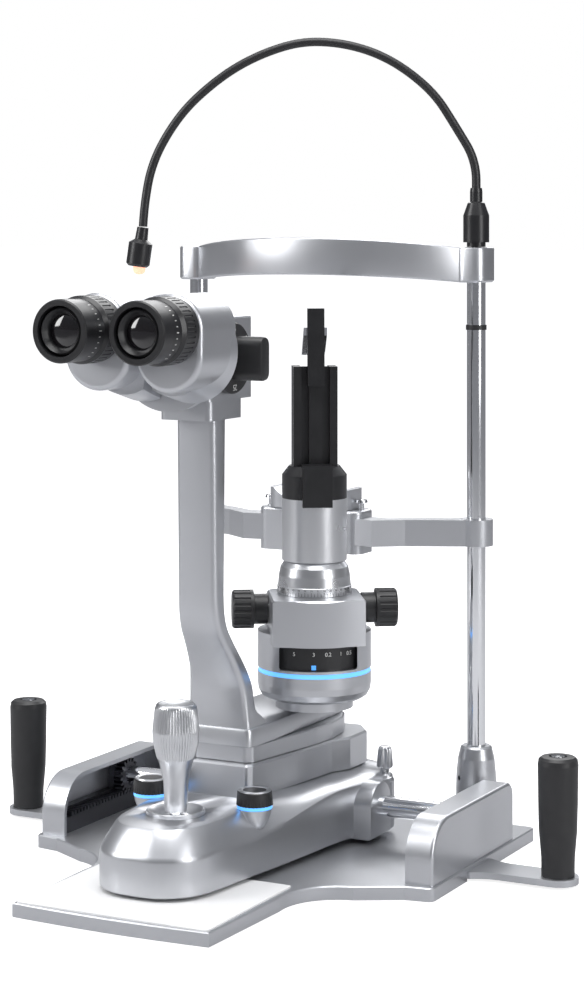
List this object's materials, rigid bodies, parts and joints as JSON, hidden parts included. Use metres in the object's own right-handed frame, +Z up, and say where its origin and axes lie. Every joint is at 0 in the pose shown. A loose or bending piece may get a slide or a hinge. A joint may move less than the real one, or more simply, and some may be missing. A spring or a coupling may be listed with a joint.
{
  "type": "slit lamp",
  "caption": "Slit lamp on a table plate: cross slide with joystick, swinging microscope and lamp, chin and forehead rest, bent fixation lamp.",
  "frame": {"origin": "on the underside of the table plate, midway between the grips and 150 mm in front of the line of the two posts", "axes": "+X to the examiner's right, +Y towards the patient, +Z up"},
  "size_m": [0.501, 0.378, 0.6424],
  "materials": {
    "silver_casting": "satin silver paint over cast metal",
    "polished_steel": "polished",
    "turned_silver": "turned and knurled",
    "black_plastic": "satin moulded",
    "black_metal": "satin black",
    "gooseneck_sleeve": "ribbed matt black",
    "white_sheet": "smooth white",
    "white_plastic": "smooth white",
    "dark_steel": "dark oiled steel",
    "light_guide": "lit blue diffuser",
    "mirror_glass": "front surface mirror"
  },
  "bodies": {
    "frame": {"base_plate": "silver_casting", "slide_sheet": "white_sheet", "rack_covers": "silver_casting", "racks": "dark_steel", "handle_brackets": "silver_casting", "grips": "black_plastic", "grip_bolts": "polished_steel", "posts": "polished_steel", "post_sockets": "silver_casting", "canthus_marks": "black_plastic", "head_band": "silver_casting", "forehead_pad": "white_plastic", "chin_arm": "silver_casting", "paper_pins": "polished_steel"},
    "shoes": {"axle_shoes": "dark_steel"},
    "axle": {"cross_axle": "polished_steel", "pinions": "dark_steel"},
    "carriage": {"base_body": "silver_casting", "glide_pad": "white_plastic", "terrace": "silver_casting", "knob_light_rings": "light_guide"},
    "stick_yoke": {"joystick_yoke": "black_metal"},
    "stick": {"joystick_stem": "polished_steel"},
    "stick_grip": {"joystick_grip": "turned_silver"},
    "knob_left": {"left_brightness_knob": "black_plastic"},
    "knob_right": {"right_brightness_knob": "black_plastic"},
    "lock": {"axle_lock": "turned_silver"},
    "lift": {"lift_column": "polished_steel", "platform": "silver_casting"},
    "microscope": {"microscope_arm": "silver_casting", "head_block": "silver_casting", "magnification_box": "silver_casting", "objective": "black_metal", "binocular_plate": "silver_casting"},
    "magnifier": {"magnification_dial": "black_plastic", "dial_knob": "black_plastic"},
    "tube_right": {"right_prism_housing": "silver_casting", "right_eyepiece_tube": "black_plastic"},
    "tube_left": {"left_prism_housing": "silver_casting", "left_eyepiece_tube": "black_plastic"},
    "diopter_right": {"right_diopter_ring": "black_metal"},
    "diopter_left": {"left_diopter_ring": "black_metal"},
    "illumination": {"lamp_arm": "silver_casting", "lower_drum": "silver_casting", "drum_light_ring": "light_guide", "upper_drum": "silver_casting", "slit_block": "silver_casting", "lamp_cylinder": "silver_casting", "lamp_collar": "black_metal", "mirror_tower": "black_metal", "lamp_mirror": "mirror_glass"},
    "filter": {"filter_dial": "black_plastic"},
    "slit_width": {"slit_shaft": "polished_steel", "slit_knobs": "black_plastic"},
    "slit_angle": {"slit_ring": "silver_casting"},
    "chin": {"chin_cup": "white_plastic"},
    "chin_wheel": {"chin_nut": "black_plastic"},
    "fixation": {"gooseneck_connector": "black_metal", "gooseneck": "gooseneck_sleeve", "fixation_lamp": "black_metal"}
  },
  "joints": [
    {"name": "fore_aft", "type": "slide", "parent": "frame", "child": "shoes", "axis": [0, -1, 0], "range_m": [-0.025, 0.055]},
    {"name": "axle_roll", "type": "hinge", "parent": "shoes", "child": "axle", "pos_m": [0, 0.075, 0.037], "axis": [1, 0, 0], "range_deg": [-115, 250]},
    {"name": "side_slide", "type": "slide", "parent": "shoes", "child": "carriage", "axis": [1, 0, 0], "range_m": [-0.045, 0.055]},
    {"name": "joystick_fore_aft", "type": "hinge", "parent": "carriage", "child": "stick_yoke", "pos_m": [-0.005, -0.101, 0.044], "axis": [1, 0, 0], "range_deg": [-10, 10]},
    {"name": "joystick_side", "type": "hinge", "parent": "stick_yoke", "child": "stick", "pos_m": [-0.005, -0.101, 0.044], "axis": [0, 1, 0], "range_deg": [-10, 10]},
    {"name": "joystick_twist", "type": "hinge", "parent": "stick", "child": "stick_grip", "pos_m": [-0.005, -0.101, 0.044], "axis": [0, 0, 1], "range_deg": [0, 720]},
    {"name": "brightness_left", "type": "hinge", "parent": "carriage", "child": "knob_left", "pos_m": [-0.0495, -0.0617, 0.07], "axis": [0, 0, 1], "range_deg": [-135, 135]},
    {"name": "brightness_right", "type": "hinge", "parent": "carriage", "child": "knob_right", "pos_m": [0.0395, -0.0617, 0.07], "axis": [0, 0, 1], "range_deg": [-135, 135]},
    {"name": "axle_lock_turn", "type": "hinge", "parent": "carriage", "child": "lock", "pos_m": [0.0698, 0.1007, 0.06], "axis": [0, 0, 1], "range_deg": [0, 90]},
    {"name": "elevation", "type": "slide", "parent": "carriage", "child": "lift", "axis": [0, 0, 1], "range_m": [0, 0.03]},
    {"name": "microscope_swing", "type": "hinge", "parent": "lift", "child": "microscope", "pos_m": [-0.005, 0.108, 0.1], "axis": [0, 0, 1], "range_deg": [-60, 60]},
    {"name": "magnification_turn", "type": "hinge", "parent": "microscope", "child": "magnifier", "pos_m": [0.026, -0.077, 0.3935], "axis": [1, 0, 0], "continuous": true},
    {"name": "pupil_distance_right", "type": "hinge", "parent": "microscope", "child": "tube_right", "pos_m": [0.009, -0.114, 0.392], "axis": [0, 1, 0], "range_deg": [-10, 10]},
    {"name": "pupil_distance_left", "type": "hinge", "parent": "microscope", "child": "tube_left", "pos_m": [-0.019, -0.114, 0.392], "axis": [0, 1, 0], "range_deg": [-10, 10]},
    {"name": "diopter_right_turn", "type": "hinge", "parent": "tube_right", "child": "diopter_right", "pos_m": [0.0264, -0.18, 0.417], "axis": [0, 1, 0], "range_deg": [-120, 120]},
    {"name": "diopter_left_turn", "type": "hinge", "parent": "tube_left", "child": "diopter_left", "pos_m": [-0.0364, -0.18, 0.417], "axis": [0, 1, 0], "range_deg": [-120, 120]},
    {"name": "illumination_swing", "type": "hinge", "parent": "lift", "child": "illumination", "pos_m": [-0.005, 0.108, 0.13], "axis": [0, 0, 1], "range_deg": [-92, 28]},
    {"name": "filter_turn", "type": "hinge", "parent": "illumination", "child": "filter", "pos_m": [0.03898, 0.03761, 0.16], "axis": [0, 0, 1], "continuous": true},
    {"name": "slit_width_turn", "type": "hinge", "parent": "illumination", "child": "slit_width", "pos_m": [0.03898, 0.03761, 0.194], "axis": [0.848, 0.5299, 0], "range_deg": [-150, 150]},
    {"name": "slit_angle_turn", "type": "hinge", "parent": "illumination", "child": "slit_angle", "pos_m": [0.03898, 0.03761, 0.22], "axis": [0, 0, 1], "range_deg": [-90, 90]},
    {"name": "chin_height", "type": "slide", "parent": "frame", "child": "chin", "axis": [0, 0, 1], "range_m": [0, 0.04]},
    {"name": "chin_nut_turn", "type": "hinge", "parent": "frame", "child": "chin_wheel", "pos_m": [0, 0.118, 0.22], "axis": [0, 0, 1], "range_deg": [0, 1800]},
    {"name": "fixation_swivel", "type": "hinge", "parent": "frame", "child": "fixation", "pos_m": [0.1275, 0.15, 0.49], "axis": [0, 0, 1], "range_deg": [-8, 60]}
  ],
  "couplings": [
    {"joint": "axle_roll", "follows": "fore_aft", "rad_per_m": 78.431},
    {"joint": "joystick_twist", "follows": "elevation", "rad_per_m": 418.88},
    {"joint": "pupil_distance_left", "follows": "pupil_distance_right", "ratio": -1},
    {"joint": "chin_nut_turn", "follows": "chin_height", "rad_per_m": 628.32}
  ]
}
